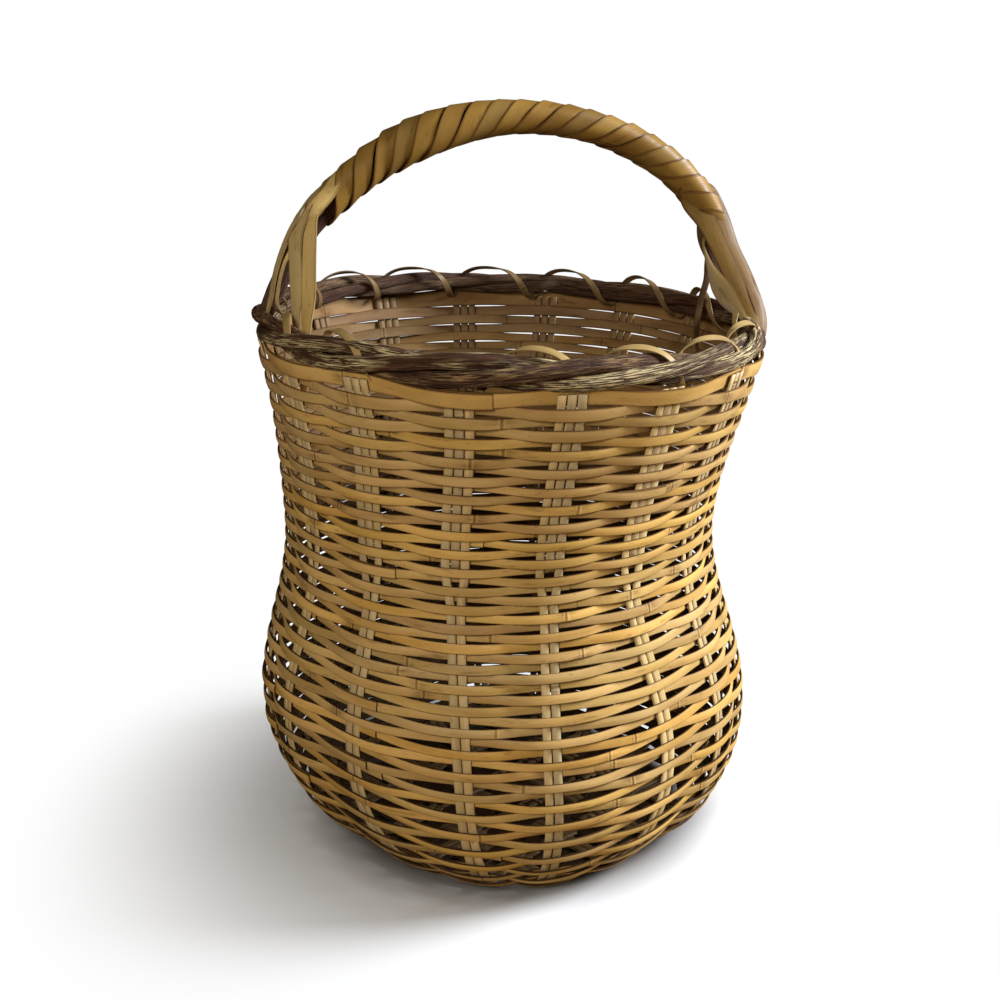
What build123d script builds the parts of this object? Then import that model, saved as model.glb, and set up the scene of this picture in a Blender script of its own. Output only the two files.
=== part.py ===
from build123d import *
import os
from math import atan2, cos, degrees, pi, radians, sin, sqrt, tan

# Hand-woven market basket in split cane: a square woven foot, a swollen belly, a narrow waist
# and a flared round mouth, bound with a rope of bark vine and carried by a wrapped hoop handle.
# Millimetres, +Z up, the front corner of the square foot towards -Y, standing on z = 0.

# ---- wall profile: radii to the middle of the wall, at four heights ----
FOOT_SIDE = 76.0            # middle of a foot side
FOOT_CORNER = 88.0          # corner of the foot
BELLY_Z = 80.0
BELLY_SIDE = 134.0
BELLY_CORNER = 142.0
WAIST_Z = 187.0
WAIST_R = 121.5
MOUTH_Z = 289.5             # top edge of the last weaver row
MOUTH_R = 139.0
FOOT_ROUND = 2.1            # fullness of the curve from foot to belly, middle of a side
CORNER_ROUND = 2.0          # the same at a corner
FLARE_POWER = 1.6           # how late the mouth flares

# ---- set of the basket: a hand-woven body leans and its rim is not level ----
FOOT_LEAN = 5.0             # how far each level's middle stands to +X
WAIST_LEAN = -3.8
MOUTH_LEAN = 2.4
LEAN_POWER = 0.5            # under 1, the body swings to its waist's side low down
RIM_TILT = 2.2              # degrees, +X side low
MIDDLE_X = -3.09            # of the mouth: the +X leg stands out past the rim

# ---- stakes: sixteen pairs of rounded strips, with a third strip let in above the waist ----
GROUPS = 16
FIRST_ANGLE = -10.4         # degrees from the front corner to the first pair, at the waist
STAKE_W = 4.6
STAKE_T = 1.6
STAKE_GAP = 0.5             # between strips that lie side by side
THIRD_Z = 196.0             # the third strip starts here
SPREAD_RUN = 26.0           # height over which a pair opens to take the third strip
RIM_CLEAR = 1.0             # from the stakes' ends down from the mouth
DRIFT = {0: 2.0, 1: -1.6, 2: 7.0, 3: 5.0, 14: -6.5, 15: -3.6}   # degrees, at the belly

# ---- weavers: closed rows of split cane, over one pair and under the next ----
ROWS = 55
WEAVER_T = 1.2
ROW_GAP = 0.85              # between one row and the next, along the wall
SEAT = 0.75                 # slack between a weaver and the stakes it crosses
FOOT_SLACK = 0.45           # further slack where the foot turns up
FOOT_PITCH = 6.4
BELLY_PITCH = 5.7
WAIST_PITCH = 4.7
MOUTH_PITCH = 6.6
FIRST_ROW_Z = 3.4
STEEPEST = 64.0             # degrees from upright, the flattest that a row lies at the foot

# ---- woven foot: two crossing layers of flat slats beside the stakes' own runs ----
SLAT_W = 8.2
SLAT_T = 1.5
SLAT_GAP = 1.4
LAYER_GAP = 0.3
MAT_CLEAR = 4.0             # from the ends of the slats to the first weaver row

# ---- rim rope: three bark vines twisted loosely round the mouth ----
VINES = 3
VINE_R = 3.5
ROPE_IN = 3.5               # from the mouth's radius in to the middle of the rope
ROPE_R = MOUTH_R - ROPE_IN
ROPE_HALF_DEPTH = 4.6
ROPE_HALF_HEIGHT = 4.5
ROPE_TWISTS = 4
ROPE_STEPS = 36
ROPE_SIDES = 5
VINE_END_GAP = 3.0          # degrees left open where a vine's two ends meet

# ---- lashing: one narrow cane strip wound over the rope, a turn to each pair of stakes ----
LASH_W = 4.2
LASH_T = 1.0
LASH_CLEAR = 0.5            # from the rope to the strip round it
LASH_SEAT = 0.5             # from the mouth up to the strip where it passes below the rope
LASH_START = 5.0            # degrees from a pair of stakes to where its turn starts
LASH_ARCH = 4.0             # how far a turn stands up above the rope

# ---- hoop handle ----
HOOP_TURN = 15.0            # degrees from the X axis to the plane of the hoop
HOOP_SHIFT = 3.0            # middle of the hoop, along its own plane
HOOP_IN = 7.0               # from the mouth's radius in to the hoop's ends
HOOP_HALF = MOUTH_R - HOOP_IN
HOOP_FOOT = 27.0            # hoop's ends above the mouth
HOOP_RISE = 93.5
# The hoop's hand-bent line, in shares of its half span and of its rise, at like distances along it.
HOOP_BENDS = [(-1.0, 0.02), (-0.88, 0.34), (-0.70, 0.615), (-0.48, 0.83), (-0.23, 0.957), (0.03, 1.0),
              (0.295, 0.957), (0.545, 0.834), (0.765, 0.626), (0.928, 0.326), (1.0, -0.02)]
CORE_R = 6.6
CORE_SIDES = 6
CORE_STEPS = 14
WRAP_R = 8.8                # to the middle of the wrapping strip
WRAP_T = 1.2
WRAP_STRIPS = 4             # wound side by side
WRAP_TURNS = 5.0
WRAP_SIDES = 8
WRAP_COVER = 0.83           # share of the hoop's length that the strips cover
WRAP_START = 0.185          # shares of the hoop's length where the wrapping starts and ends
WRAP_END = 0.90

# ---- handle legs: cane strips that splay from the hoop's ends to the rim ----
LEG_T = 1.5
LEG_GAP = 0.8               # between strips side by side
LEG_SEAT = 0.4              # from a leg to what it lies on
LEFT_FRONT_W = 7.4
LEFT_FRONT_ANGLE = -57.0    # degrees from the front corner
LEFT_BACK_W = 5.0
LEFT_BACK_ANGLE = -92.4
RIGHT_OUTER_W = 6.6
RIGHT_OUTER_ANGLE = 83.5
RIGHT_INNER_W = 4.0
RIGHT_INNER_ANGLE = 117.0
TUCK = 22.0                 # how far a leg reaches below the mouth, inside the wall


def blend(a, b, t, power=1.0):
    """Ease from a to b as t goes from 0 to 1."""
    t = min(max(t, 0.0), 1.0)
    return a + (b - a) * (0.5 - 0.5 * cos(pi * t ** power))


def swell(foot, belly, z, fullness):
    """Foot to belly: a quarter of a superellipse, upright at the belly."""
    t = 1.0 - z / BELLY_Z
    return foot + (belly - foot) * (1.0 - t ** fullness) ** (1.0 / fullness)


def side_and_corner(z):
    """Radii of the wall at height z, at the middle of a side and at a corner."""
    if z < BELLY_Z:
        z = max(z, 0.0)
        return (swell(FOOT_SIDE, BELLY_SIDE, z, FOOT_ROUND),
                swell(FOOT_CORNER, BELLY_CORNER, z, CORNER_ROUND))
    if z < WAIST_Z:
        t = (z - BELLY_Z) / (WAIST_Z - BELLY_Z)
        return blend(BELLY_SIDE, WAIST_R, t), blend(BELLY_CORNER, WAIST_R, t)
    t = (z - WAIST_Z) / (MOUTH_Z - WAIST_Z)
    r = WAIST_R + (MOUTH_R - WAIST_R) * t ** FLARE_POWER
    return r, r


def radius(angle, z):
    """Plan of the wall: a square with rounded corners that turns into a circle."""
    side, corner = side_and_corner(z)
    corner = max(side, corner)
    nook = min(max((sqrt(2) * side - corner) / (sqrt(2) - 1), 1.0), side)
    off_corner = abs((angle + 45) % 90 - 45)
    off_side = radians(45 - off_corner)
    if side * tan(off_side) <= side - nook:
        return side / cos(off_side)
    reach = sqrt(2) * (side - nook)
    off = radians(off_corner)
    return reach * cos(off) + sqrt(nook ** 2 - (reach * sin(off)) ** 2)


def slope(z):
    """Degrees by which the wall leans from upright, about the middle of the row at z."""
    step = 0.5
    rise = radius(45, z + step) - radius(45, z - step)
    return max(-STEEPEST, min(STEEPEST, degrees(atan2(rise, 2 * step))))


def foot_place(k):
    """Where pair k crosses the foot's edge: its side, and its place along it."""
    side, slot = divmod((k - 1) % GROUPS, GROUPS // 4)
    per_side = GROUPS // 4
    along = (slot + 0.5 - per_side / 2) * 2 * FOOT_SIDE / per_side
    return side, along


def stake_angle(k, z):
    """Degrees from the front corner, counted towards +X, of pair k at height z."""
    waist = FIRST_ANGLE + 360 / GROUPS * k
    belly = waist + DRIFT.get(k % GROUPS, 0.0)
    side, along = foot_place(k)
    foot = 45 + 90 * side + degrees(atan2(along, FOOT_SIDE))
    foot += 360 * round((belly - foot) / 360)
    if z < BELLY_Z:
        return blend(foot, belly, z / BELLY_Z, 0.6)
    return blend(belly, waist, (z - BELLY_Z) / (WAIST_Z - BELLY_Z))


def lean(z):
    """Sideways set of the body at height z."""
    if z < WAIST_Z:
        return blend(FOOT_LEAN, WAIST_LEAN, z / WAIST_Z, LEAN_POWER)
    return blend(WAIST_LEAN, MOUTH_LEAN, (z - WAIST_Z) / (MOUTH_Z - WAIST_Z))


# A strip is straight from one of these heights to the next, and the weavers follow it.
STATIONS = [2.2, 7.5, 20, 42, BELLY_Z, 122, THIRD_Z - SPREAD_RUN, THIRD_Z, 240, MOUTH_Z - RIM_CLEAR]


def axis(z):
    """Middle of the body at height z, in plan."""
    return Vector(MIDDLE_X + lean(z), 0, 0)


def wall_place(k, z):
    """Middle of the wall at pair k, in plan, straight between the stations."""
    upper = next((i for i, s in enumerate(STATIONS[1:-1], 1) if z < s), len(STATIONS) - 1)
    low, high = STATIONS[upper - 1], STATIONS[upper]

    def at(s):
        angle = stake_angle(k, s)
        r = radius(angle, s)
        return axis(s) + Vector(r * sin(radians(angle)), -r * cos(radians(angle)), 0)
    return at(low) + (at(high) - at(low)) * ((z - low) / (high - low))


def drop(z):
    """Fall of height z per millimetre towards +X."""
    return tan(radians(RIM_TILT)) * min(z / MOUTH_Z, 1.0) ** 2


def settle(plan, z, fall):
    """A place in plan at height z, on a body whose rim has settled to one side."""
    return Vector(plan.X, plan.Y, z - fall * plan.X)


def polar(angle, r, z):
    """A place about the mouth, by its degrees from the front corner."""
    plan = axis(z) + Vector(r * sin(radians(angle)), -r * cos(radians(angle)), 0)
    return settle(plan, z, drop(z))


def facet(points):
    return Face(Wire.make_polygon(points, close=True))


def ribbon(sections):
    """A strip or rod through like polygons, with flat facets from one to the next.

    Facets on opposite sides are split along parallel lines, so a twisted strip keeps its thickness.
    """
    faces = [facet(sections[0]), facet(sections[-1])]
    for lower, upper in zip(sections, sections[1:]):
        for i in range(len(lower)):
            j = (i + 1) % len(lower)
            a, b = (i, j) if i < len(lower) / 2 else (j, i)
            faces.append(facet([lower[a], lower[b], upper[a]]))
            faces.append(facet([lower[b], upper[b], upper[a]]))
    return Solid(Shell(faces))


def flat_section(centre, across, normal, width, thick):
    a = across.normalized() * (width / 2)
    n = normal.normalized() * (thick / 2)
    return [centre - a - n, centre + a - n, centre + a + n, centre - a + n]


def round_section(centre, side, up, r, sides):
    turn = 2 * pi / sides
    s = side.normalized() * r
    u = up.normalized() * r
    return [centre + s * cos(i * turn) + u * sin(i * turn) for i in range(sides)]


# ---- weaver rows ----

def row_pitch(z):
    if z < BELLY_Z:
        return blend(FOOT_PITCH, BELLY_PITCH, z / BELLY_Z)
    if z < WAIST_Z:
        return blend(BELLY_PITCH, WAIST_PITCH, (z - BELLY_Z) / (WAIST_Z - BELLY_Z))
    return blend(WAIST_PITCH, MOUTH_PITCH, (z - WAIST_Z) / (MOUTH_Z - WAIST_Z), 2.2)


def row_edges():
    """Lower and upper edge heights of every row, laid one on another up to the mouth."""
    def climb(z, length):
        return z + length * cos(radians(slope(z)))
    edges = []
    z = FIRST_ROW_Z
    for i in range(ROWS):
        top = climb(z, row_pitch(z) - ROW_GAP)
        edges.append((z, top))
        z = climb(top, ROW_GAP)
    stretch = (MOUTH_Z - FIRST_ROW_Z) / (edges[-1][1] - FIRST_ROW_Z)
    return [(FIRST_ROW_Z + (low - FIRST_ROW_Z) * stretch,
             FIRST_ROW_Z + (top - FIRST_ROW_Z) * stretch) for low, top in edges]


def weaver_row(low, top, phase):
    """One closed row: outside every second pair of stakes and inside the others."""
    mid = (low + top) / 2
    lie = cos(radians(slope(mid)))
    slack = blend(SEAT + FOOT_SLACK, SEAT, mid / BELLY_Z)
    stand_off = (STAKE_T / 2 + WEAVER_T / 2 + slack) / lie
    thick = WEAVER_T / lie
    plan = []
    for k in range(GROUPS):
        spoke = wall_place(k, mid) - axis(mid)
        step = stand_off if (k + phase) % 2 == 0 else -stand_off
        plan.append((spoke.normalized(), spoke.length + step))
    grow = sqrt((wall_place(0, top) - axis(top)).length / (wall_place(0, low) - axis(low)).length)

    def loop(shift, z, scale):
        return [settle(axis(z) + spoke * ((r + shift) * scale), z, drop(mid)) for spoke, r in plan]
    inner_low = loop(-thick / 2, low, 1 / grow)
    outer_low = loop(thick / 2, low, 1 / grow)
    inner_top = loop(-thick / 2, top, grow)
    outer_top = loop(thick / 2, top, grow)
    faces = []
    for lower, upper in ((inner_low, inner_top), (outer_low, outer_top)):
        for i in range(GROUPS):
            j = (i + 1) % GROUPS
            faces.append(facet([lower[i], lower[j], upper[j], upper[i]]))
    for outer, inner in ((outer_low, inner_low), (outer_top, inner_top)):
        faces.append(Face(Wire.make_polygon(outer, close=True), [Wire.make_polygon(inner, close=True)]))
    return Solid(Shell(faces))


# ---- stakes ----

def stake_seat(k, z, offset):
    """Middle, width line and outward line of a strip of pair k, bent with the wall."""
    fall = drop(z)
    here = settle(wall_place(k, z), z, fall)
    left = (here - settle(wall_place(k - 1, z), z, fall)).normalized()
    right = (settle(wall_place(k + 1, z), z, fall) - here).normalized()
    if offset < 0:
        across = left
    elif offset > 0:
        across = right
    else:
        across = (left + right).normalized()
    above = min(z + 1, STATIONS[-1])
    below = max(z - 1, STATIONS[0])
    up = settle(wall_place(k, above), above, fall) - settle(wall_place(k, below), below, fall)
    normal = across.cross(up).normalized()
    return here + across * offset, across, normal


def spread(z):
    """Half the distance between the two strips of a pair."""
    close = (STAKE_W + STAKE_GAP) / 2
    return blend(close, 2 * close, (z - THIRD_Z + SPREAD_RUN) / SPREAD_RUN)


def wall_run(k, sign):
    """Sections of one strip of pair k, from the foot up to the mouth."""
    sections = []
    for z in STATIONS:
        centre, across, normal = stake_seat(k, z, sign * spread(z))
        sections.append(flat_section(centre, across, normal, STAKE_W, STAKE_T))
    return sections


def foot_turn(k, sign, layer):
    """Section where a strip of pair k leaves the woven foot."""
    side, along = foot_place(k)
    turn = radians(45 + 90 * side)
    outward = Vector(sin(turn), -cos(turn), 0)
    tangent = Vector(cos(turn), sin(turn), 0)
    z = SLAT_T / 2 + layer * (SLAT_T + LAYER_GAP)
    here = outward * FOOT_SIDE + tangent * (along + sign * spread(0)) + axis(0) + Vector(0, 0, z)
    return flat_section(here, tangent, Vector(0, 0, -1), STAKE_W, SLAT_T)


def opposite(k):
    """The pair at the other end of pair k's run across the foot."""
    per_side = GROUPS // 4
    side, slot = divmod((k - 1) % GROUPS, per_side)
    return ((side + 2) % 4 * per_side + per_side - 1 - slot + 1) % GROUPS


def turned(section):
    """The same section seen from the far end of the run."""
    return [section[1], section[0], section[3], section[2]]


def stake_strip(k, sign):
    """One strip of cane: down the wall, across the foot and up the other side."""
    layer = ((k - 1) % GROUPS) // (GROUPS // 4) % 2
    far = opposite(k)
    near_half = [*reversed(wall_run(k, sign)), foot_turn(k, sign, layer)]
    far_half = [turned(s) for s in (foot_turn(far, -sign, layer), *wall_run(far, -sign))]
    return ribbon(near_half + far_half)


def third_strip(k):
    sections = []
    for z in STATIONS:
        if z >= THIRD_Z:
            centre, across, normal = stake_seat(k, z, 0)
            sections.append(flat_section(centre, across, normal, STAKE_W, STAKE_T))
    return ribbon(sections)


# ---- woven foot ----

def mat_reach(along):
    """Half length of a slat that lies this far from the middle of the foot."""
    low, top = row_edges()[0]
    slack = (STAKE_T / 2 + WEAVER_T + SEAT + FOOT_SLACK) / cos(radians(slope((low + top) / 2)))
    edge = radius(45, low) * cos(pi / GROUPS) - slack - MAT_CLEAR
    return sqrt(max(edge ** 2 - (abs(along) + SLAT_W / 2) ** 2, 0.0))


def foot_slats(layer):
    """Flat slats of one layer, side by side between the runs of the stakes."""
    pitch = SLAT_W + SLAT_GAP
    per_side = GROUPS // 4
    bay = 2 * FOOT_SIDE / per_side
    room = bay - 2 * (STAKE_W + STAKE_GAP)
    count = int((room - SLAT_GAP) // pitch)
    slats = []
    for gap in range(per_side + 1):
        middle = (gap - per_side / 2) * bay
        for i in range(count):
            along = middle + (i - (count - 1) / 2) * pitch
            if abs(along) + SLAT_W / 2 < FOOT_SIDE - SLAT_GAP:
                slats.append(Pos(along, 0, 0) * Box(SLAT_W, 2 * mat_reach(along), SLAT_T))
    z = SLAT_T / 2 + layer * (SLAT_T + LAYER_GAP)
    place = Pos(axis(0).X, 0, z) * Rot(0, 0, 45 + 90 * layer)
    return [place * slat for slat in slats]


# ---- rim rope and lashing ----

LASH_OUT = ROPE_HALF_DEPTH + VINE_R + LASH_CLEAR + LASH_T / 2
LASH_UNDER = ROPE_HALF_HEIGHT + VINE_R + LASH_CLEAR + LASH_T / 2
ROPE_Z = MOUTH_Z + LASH_SEAT + LASH_T / 2 + LASH_UNDER


def vine(n):
    """One vine of the rope, nearly a full round, its ends butting."""
    sections = []
    sweep_angle = 360 - VINE_END_GAP
    for i in range(ROPE_STEPS + 1):
        angle = 95 + 360 * n / VINES + sweep_angle * i / ROPE_STEPS
        twist = radians(ROPE_TWISTS * angle + 360 * n / VINES)
        r = ROPE_R + ROPE_HALF_DEPTH * cos(twist)
        z = ROPE_Z + ROPE_HALF_HEIGHT * sin(twist)
        side = polar(angle, r + 1, z) - polar(angle, r, z)
        sections.append(round_section(polar(angle, r, z), side, Vector(0, 0, 1), VINE_R, ROPE_SIDES))
    return ribbon(sections)


def lashing():
    """The strip passes below the rope, climbs outside it, arches over and comes in again."""
    corner = 1 / cos(pi / 8)
    shares = [0.0, 0.05, 0.11, 0.28, 0.48, 0.68, 0.88, 0.93, 0.97]     # of the way to the next turn
    swings = [0.5, 1.5, 2.5, 3.5, 4.0, 4.5, 5.5, 6.5, 7.5]             # eighths of a turn
    lifts = [0, 0, 0, 0.7, 1, 0.7, 0, 0, 0]
    path = []
    for k in range(GROUPS - 1):
        start = stake_angle(k, MOUTH_Z) + LASH_START
        for share, swing, lift in zip(shares, swings, lifts):
            r = LASH_OUT * corner * sin(pi / 4 * swing)
            z = LASH_ARCH * lift - LASH_UNDER * corner * cos(pi / 4 * swing)
            path.append((start + share * 360 / GROUPS, ROPE_R + r, ROPE_Z + z))
    points = [polar(*p) for p in path]
    sections = []
    for i, (angle, r, z) in enumerate(path):
        ahead = points[min(i + 1, len(points) - 1)] - points[max(i - 1, 0)]
        out = points[i] - polar(angle, ROPE_R, ROPE_Z)
        across = out.cross(ahead)
        sections.append(flat_section(points[i], across, ahead.cross(across), LASH_W, LASH_T))
    return ribbon(sections)


# ---- hoop handle ----

HOOP_FOOT_Z = MOUTH_Z + HOOP_FOOT
HOOP_PLANE = Vector(cos(radians(HOOP_TURN)), sin(radians(HOOP_TURN)), 0)
HOOP_BACK = Vector(-sin(radians(HOOP_TURN)), cos(radians(HOOP_TURN)), 0)


def bend(i):
    """Bend number i of the hoop's line; past either end the line runs straight on."""
    last = len(HOOP_BENDS) - 1
    if i < 0:
        return bend(0) * 2 - bend(1)
    if i > last:
        return bend(last) * 2 - bend(last - 1)
    along, up = HOOP_BENDS[i]
    return HOOP_PLANE * (HOOP_SHIFT + HOOP_HALF * along) + Vector(MIDDLE_X, 0, HOOP_FOOT_Z + HOOP_RISE * up)


def hoop_point(share):
    """The hoop's middle line, rounded through its bends: share 0 is its -X end and 1 its +X end."""
    at = share * (len(HOOP_BENDS) - 1)
    i = min(int(at), len(HOOP_BENDS) - 2)
    t = at - i
    a, b, c, d = bend(i - 1), bend(i), bend(i + 1), bend(i + 2)
    return (b + (c - a) * (t / 2) + (a * 2 - b * 5 + c * 4 - d) * (t ** 2 / 2)
            + (b * 3 - a - c * 3 + d) * (t ** 3 / 2))


def hoop_length(start, end, steps=60):
    points = [hoop_point(start + (end - start) * i / steps) for i in range(steps + 1)]
    return sum((b - a).length for a, b in zip(points, points[1:]))


def hoop_frame(share):
    """A point of the middle line, the way along it and the way out of its curve."""
    step = 0.004
    ahead = hoop_point(min(share + step, 1.0)) - hoop_point(max(share - step, 0.0))
    return hoop_point(share), ahead.normalized(), ahead.cross(HOOP_BACK).normalized()


def handle_core():
    sections = []
    for i in range(CORE_STEPS + 1):
        centre, along, out = hoop_frame(i / CORE_STEPS)
        sections.append(round_section(centre, HOOP_BACK, out, CORE_R, CORE_SIDES))
    return ribbon(sections)


def wrap_strip(n):
    """One of the strips wound side by side round the hoop, rising to +X across its front."""
    steps = round(WRAP_TURNS * WRAP_SIDES)
    covered = WRAP_END - WRAP_START
    sections = []
    for i in range(steps + 1):
        share = WRAP_START + covered * i / steps
        centre, along, out = hoop_frame(share)
        turn = 2 * pi * (n / WRAP_STRIPS - i / WRAP_SIDES)
        away = HOOP_BACK * cos(turn) + out * sin(turn)
        step = covered / steps
        pitch = hoop_length(share - step, share + step, 8) / 2 * WRAP_SIDES
        width = WRAP_COVER * pitch / WRAP_STRIPS
        sections.append(flat_section(centre + away * WRAP_R, along, away, width, WRAP_T))
    return ribbon(sections)


# ---- handle legs ----

INSIDE_ROPE = ROPE_R - ROPE_HALF_DEPTH - VINE_R - 2 * LASH_CLEAR - LASH_T - LEG_T / 2
OUTSIDE_ROPE = 2 * ROPE_R - INSIDE_ROPE
ROPE_TOP = ROPE_Z + ROPE_HALF_HEIGHT + VINE_R
ON_CORE = CORE_R + LEG_SEAT + LEG_T / 2


def tangent(angle):
    return Vector(cos(radians(angle)), sin(radians(angle)), 0)


def wall_inside(z):
    """Radius to the middle of a strip that lies against the inside of the wall."""
    flat_of_row = radius(0, z) * cos(pi / GROUPS)
    return flat_of_row - WEAVER_T / 2 - LEG_SEAT - LEG_T / 2


def leg(stations, widths):
    """Strips side by side through stations of (middle, width line, share of full width)."""
    offsets = [(i - (len(widths) - 1) / 2) * (w + LEG_GAP) for i, w in enumerate(widths)]
    strips = []
    for offset, width in zip(offsets, widths):
        sections = []
        for i, (centre, across, full) in enumerate(stations):
            ahead = stations[min(i + 1, len(stations) - 1)][0] - stations[max(i - 1, 0)][0]
            normal = ahead.cross(across)
            level = normal.cross(ahead)
            middle = centre + level.normalized() * offset * full
            sections.append(flat_section(middle, level, normal, width * full, LEG_T))
        strips.append(ribbon(sections))
    return strips


def off_core(share, back, outer=0.0):
    """A place on the core: back is -1 on its front and 1 behind, outer is 1 outside its curve."""
    middle, along, out = hoop_frame(share)
    return middle + (HOOP_BACK * back + out * outer).normalized() * ON_CORE


def tucked_end(angle, inset=0.0):
    """Inside the rope, then out to lie against the wall below it."""
    low = MOUTH_Z - TUCK
    return [(polar(angle, INSIDE_ROPE - 0.6 - inset, ROPE_Z + 3), tangent(angle), 1),
            (polar(angle, INSIDE_ROPE - inset / 2, MOUTH_Z + 1), tangent(angle), 1),
            (polar(angle, wall_inside(low), low), tangent(angle), 1)]


def left_front_leg():
    """Two broad strips, from the front of the hoop down inside the rim."""
    end = tucked_end(LEFT_FRONT_ANGLE, 2.0)
    start = off_core(0.15, -1)
    leave = off_core(0.105, -1)
    middle = (leave + end[0][0]) * 0.5 + Vector(1.0, 1.0, 2.0)
    swing = (tangent(LEFT_FRONT_ANGLE) + HOOP_PLANE * 3).normalized()
    return leg([(start, HOOP_PLANE, 1), (leave, HOOP_PLANE, 1), (middle, swing, 1), *end],
               [LEFT_FRONT_W] * 2)


def left_back_leg():
    """A narrow strip from the outside of the hoop, over the rope's inner edge."""
    over = (polar(LEFT_BACK_ANGLE, INSIDE_ROPE + 2.5, ROPE_TOP + 4.5), tangent(LEFT_BACK_ANGLE), 1)
    on_core = []
    for share, back in ((0.13, 0.0), (0.105, 0.3), (0.08, 0.8), (0.055, 1.6)):
        middle, along, out = hoop_frame(share)
        place = off_core(share, back, 1)
        on_core.append((place, (place - middle).cross(along), 1))
    return leg([*on_core, over, *tucked_end(LEFT_BACK_ANGLE)], [LEFT_BACK_W])


def right_outer_leg():
    """Three strips that turn as they come down, draw together and pass outside the rope."""
    angle = RIGHT_OUTER_ANGLE
    line = tangent(angle)
    low = MOUTH_Z - 2.0
    wall_outside = radius(0, low) + STAKE_T / 2 + SEAT + WEAVER_T + LEG_SEAT + LEG_T / 2
    over = polar(angle, OUTSIDE_ROPE - 6.5, ROPE_TOP + 6.0)
    leave = off_core(0.965, -1)
    stations = [(off_core(0.925, -1), HOOP_PLANE, 0.9), (leave, (HOOP_PLANE * 3 + line).normalized(), 1),
                ((leave + over) * 0.5 + Vector(1.0, 0.0, 1.0), (HOOP_PLANE + line).normalized(), 0.9),
                (over, line, 0.75), (polar(angle, OUTSIDE_ROPE, ROPE_Z + 5.0), line, 0.65),
                (polar(angle, OUTSIDE_ROPE, ROPE_Z - 4.5), line, 0.6),
                (polar(angle, wall_outside, low), line, 0.5)]
    return leg(stations, [RIGHT_OUTER_W] * 3)


def right_inner_leg():
    """A narrow split of vine from the back of the hoop down inside the rim."""
    start = off_core(0.95, 1)
    end = tucked_end(RIGHT_INNER_ANGLE)
    middle = (start + end[0][0]) * 0.5 + Vector(0.5, 1.0, 1.0)
    return leg([(start, HOOP_PLANE, 1), (middle, (HOOP_PLANE + end[0][1]).normalized(), 1), *end],
               [RIGHT_INNER_W])


# ---- the basket, one file to a sub-part ----

def write(name, solids):
    export_step(Compound(label=name, children=solids) if len(solids) > 1 else solids[0],
                os.path.join("parts", name + ".step"))


os.makedirs("parts", exist_ok=True)

rows = [weaver_row(low, top, i % 2) for i, (low, top) in enumerate(row_edges())]
for i in range(0, len(rows), 2):
    write(f"weaver_rows_{i // 2 + 1:02d}", rows[i:i + 2])

for k in range(1, GROUPS // 2 + 1):
    write(f"stake_run_{k}", [stake_strip(k, -1), stake_strip(k, 1)])
for side in range(4):
    first = side * GROUPS // 4 + 1
    write(f"let_in_stakes_{side + 1}", [third_strip(k) for k in range(first, first + GROUPS // 4)])

write("foot_slats_lower", foot_slats(0))
write("foot_slats_upper", foot_slats(1))
for n in range(VINES):
    write(f"rim_vine_{n + 1}", [vine(n)])
write("rim_lashing", [lashing()])
write("handle_core", [handle_core()])
write("handle_wrap", [wrap_strip(n) for n in range(WRAP_STRIPS)])
write("handle_leg_left_front", left_front_leg())
write("handle_leg_left_back", left_back_leg())
write("handle_leg_right_outer", right_outer_leg())
write("handle_leg_right_inner", right_inner_leg())
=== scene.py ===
from bisect import bisect_right
from math import atan2, cos, degrees, exp, pi, radians, sin, sqrt, tan
from random import Random

import bmesh
import bpy
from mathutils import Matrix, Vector


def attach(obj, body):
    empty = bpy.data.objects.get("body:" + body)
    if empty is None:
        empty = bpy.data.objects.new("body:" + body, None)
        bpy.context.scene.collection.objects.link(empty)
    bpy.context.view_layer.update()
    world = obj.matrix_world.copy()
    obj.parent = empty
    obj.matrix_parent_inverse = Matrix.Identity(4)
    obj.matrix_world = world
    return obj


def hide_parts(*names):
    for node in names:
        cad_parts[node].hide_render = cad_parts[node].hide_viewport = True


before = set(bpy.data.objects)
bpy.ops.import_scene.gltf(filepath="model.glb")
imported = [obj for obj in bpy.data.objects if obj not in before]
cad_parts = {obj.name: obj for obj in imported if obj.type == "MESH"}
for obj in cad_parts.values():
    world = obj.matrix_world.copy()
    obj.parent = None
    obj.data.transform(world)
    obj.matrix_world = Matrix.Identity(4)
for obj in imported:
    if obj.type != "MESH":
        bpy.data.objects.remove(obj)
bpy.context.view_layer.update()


# ---- Stakes ----
# Sixteen pairs of thin cane rods stand round the basket. Each is one long rod that comes down the
# wall, crosses the foot as part of its mat, and goes up the far side. The cane is pale outside, and
# rough on the side that looks into the basket, which painted shade browns.

MM = 0.001
FOOT_SIDE, FOOT_CORNER = 76.0, 88.0     # from the middle to the wall, at a side and at a corner
BELLY_Z, BELLY_SIDE, BELLY_CORNER = 80.0, 134.0, 142.0
WAIST_Z, WAIST_R = 187.0, 121.5
MOUTH_Z, MOUTH_R = 289.5, 139.0
FOOT_ROUND, CORNER_ROUND, FLARE_POWER = 2.1, 2.0, 1.6       # how full the wall's curves are
MIDDLE_X, FOOT_LEAN, WAIST_LEAN, MOUTH_LEAN = -3.09, 5.0, -3.8, 2.4
RIM_TILT = 2.2                          # degrees that the rim falls towards +X
GROUPS, FIRST_ANGLE = 16, -10.4         # pairs of stakes, and the first one's angle at the waist
DRIFT = {0: 2.0, 1: -1.6, 2: 7.0, 3: 5.0, 14: -6.5, 15: -3.6}       # degrees a pair strays at the belly
PER_SIDE = GROUPS // 4
BAY = 2 * FOOT_SIDE / PER_SIDE          # from pair to pair along a side of the foot
STAKE_HALF_W, STAKE_HALF_T, STAKE_GAP = 2.35, 0.85, 0.4
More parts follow.
